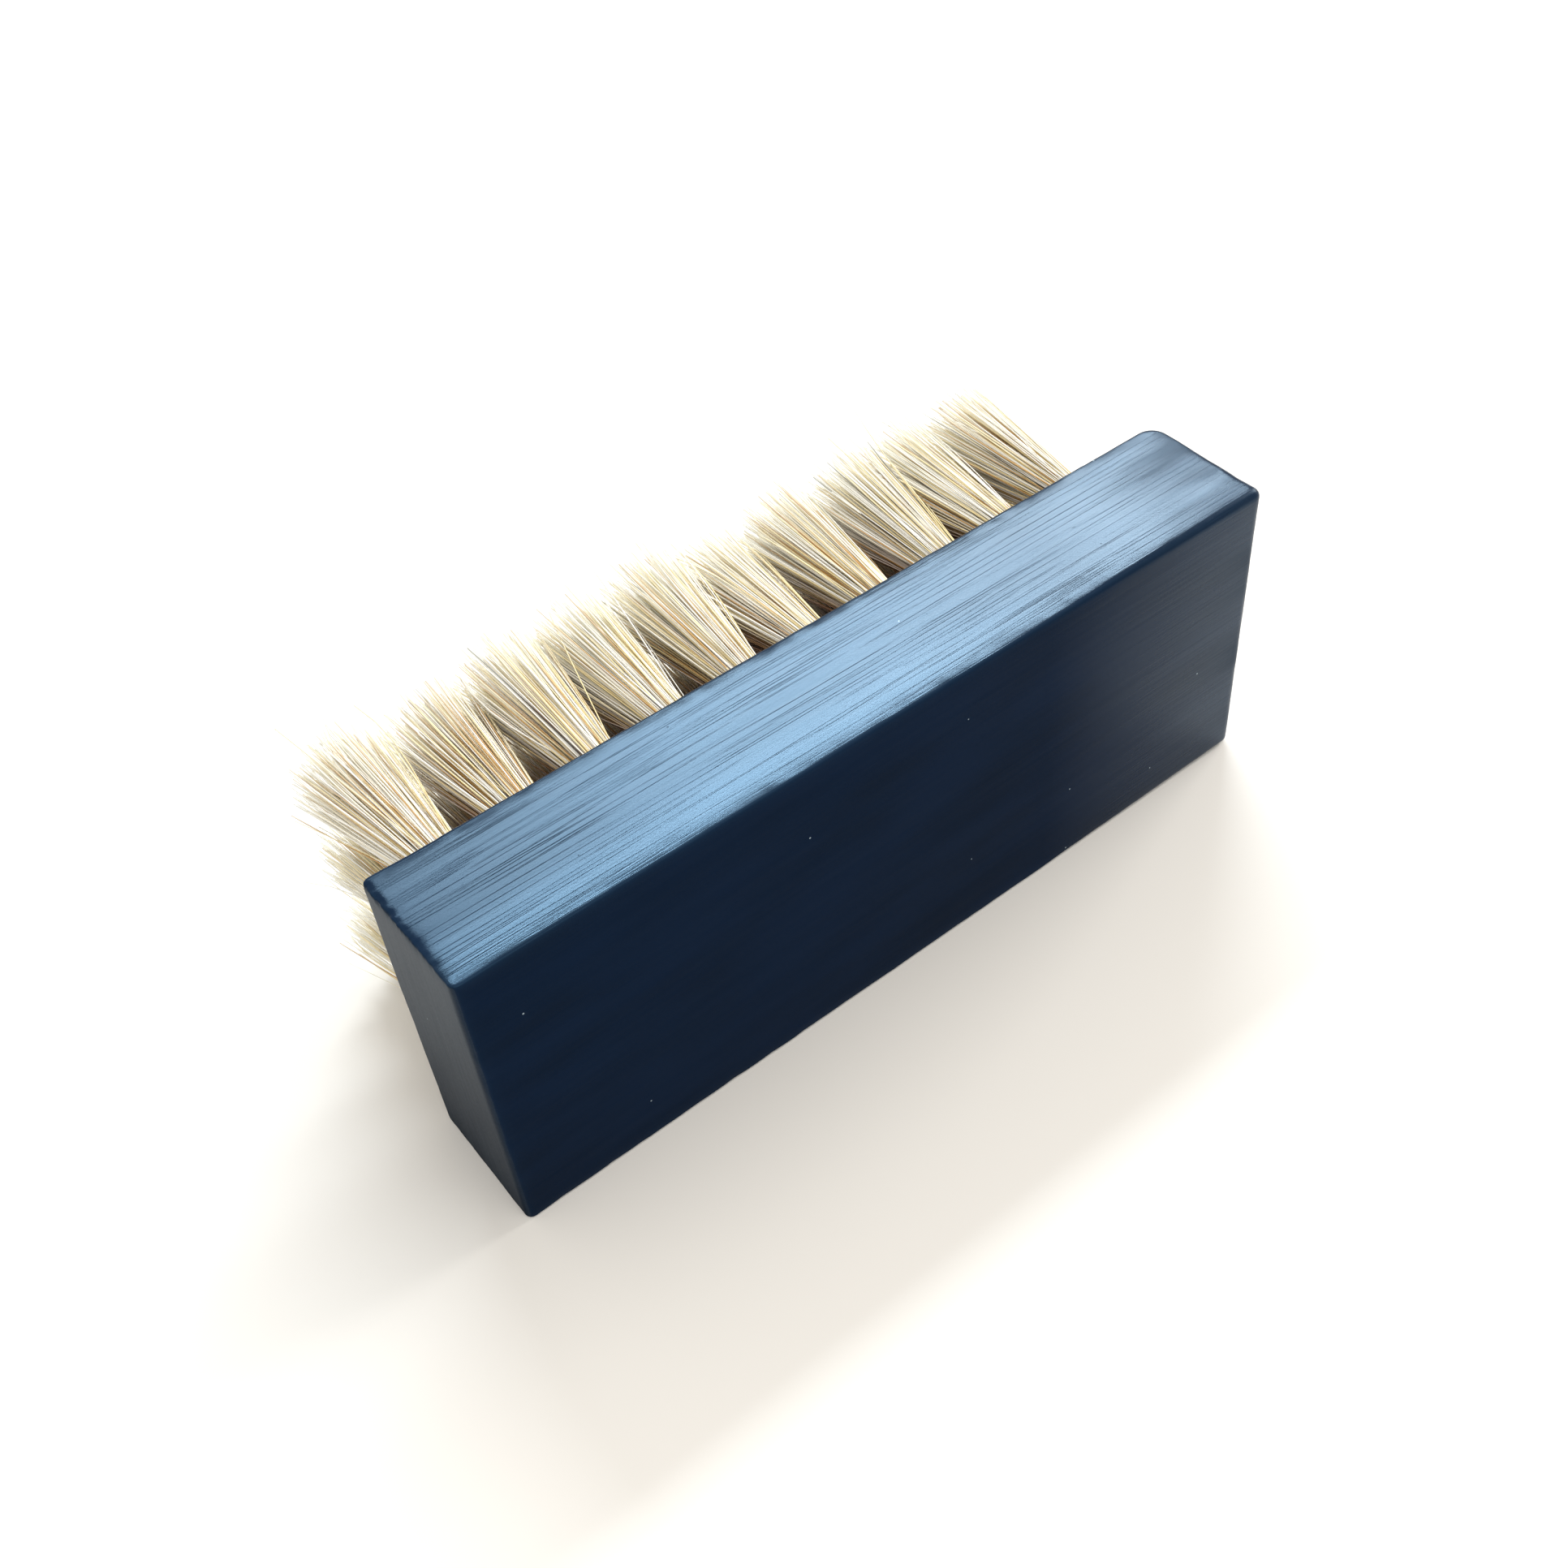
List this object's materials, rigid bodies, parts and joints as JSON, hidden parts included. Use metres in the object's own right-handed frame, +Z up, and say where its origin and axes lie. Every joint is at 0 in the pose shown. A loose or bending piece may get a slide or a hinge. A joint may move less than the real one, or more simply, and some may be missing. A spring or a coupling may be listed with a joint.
{
  "type": "block brush",
  "caption": "Rectangular painted wooden block with rows of pale natural bristle tufts set in one broad face, held in the hand with no handle.",
  "frame": {"origin": "middle of the whole brush's footprint, on the surface that the block's long narrow side rests on", "axes": "+X along the block, +Y the way the bristles point, +Z up from the side that it rests on"},
  "size_m": [0.11, 0.043, 0.041],
  "materials": {
    "navy_paint_on_wood": "satin navy paint, brushed on by hand over wood",
    "natural_bristle": "pale undyed hog bristle, trimmed at the tips",
    "anchor_wire": "bright flat wire, sheared at its ends"
  },
  "bodies": {
    "root": {"brush_block": "navy_paint_on_wood", "tuft_r1_c01": "natural_bristle", "tuft_r1_c02": "natural_bristle", "tuft_r1_c03": "natural_bristle", "tuft_r1_c04": "natural_bristle", "tuft_r1_c05": "natural_bristle", "tuft_r1_c06": "natural_bristle", "tuft_r1_c07": "natural_bristle", "tuft_r1_c08": "natural_bristle", "tuft_r1_c09": "natural_bristle", "tuft_r1_c10": "natural_bristle", "tuft_r2_c01": "natural_bristle", "tuft_r2_c02": "natural_bristle", "tuft_r2_c03": "natural_bristle", "tuft_r2_c04": "natural_bristle", "tuft_r2_c05": "natural_bristle", "tuft_r2_c06": "natural_bristle", "tuft_r2_c07": "natural_bristle", "tuft_r2_c08": "natural_bristle", "tuft_r2_c09": "natural_bristle", "tuft_r2_c10": "natural_bristle", "tuft_r3_c01": "natural_bristle", "tuft_r3_c02": "natural_bristle", "tuft_r3_c03": "natural_bristle", "tuft_r3_c04": "natural_bristle", "tuft_r3_c05": "natural_bristle", "tuft_r3_c06": "natural_bristle", "tuft_r3_c07": "natural_bristle", "tuft_r3_c08": "natural_bristle", "tuft_r3_c09": "natural_bristle", "tuft_r3_c10": "natural_bristle", "anchors_row_1": "anchor_wire", "anchors_row_2": "anchor_wire", "anchors_row_3": "anchor_wire"}
  },
  "joints": []
}
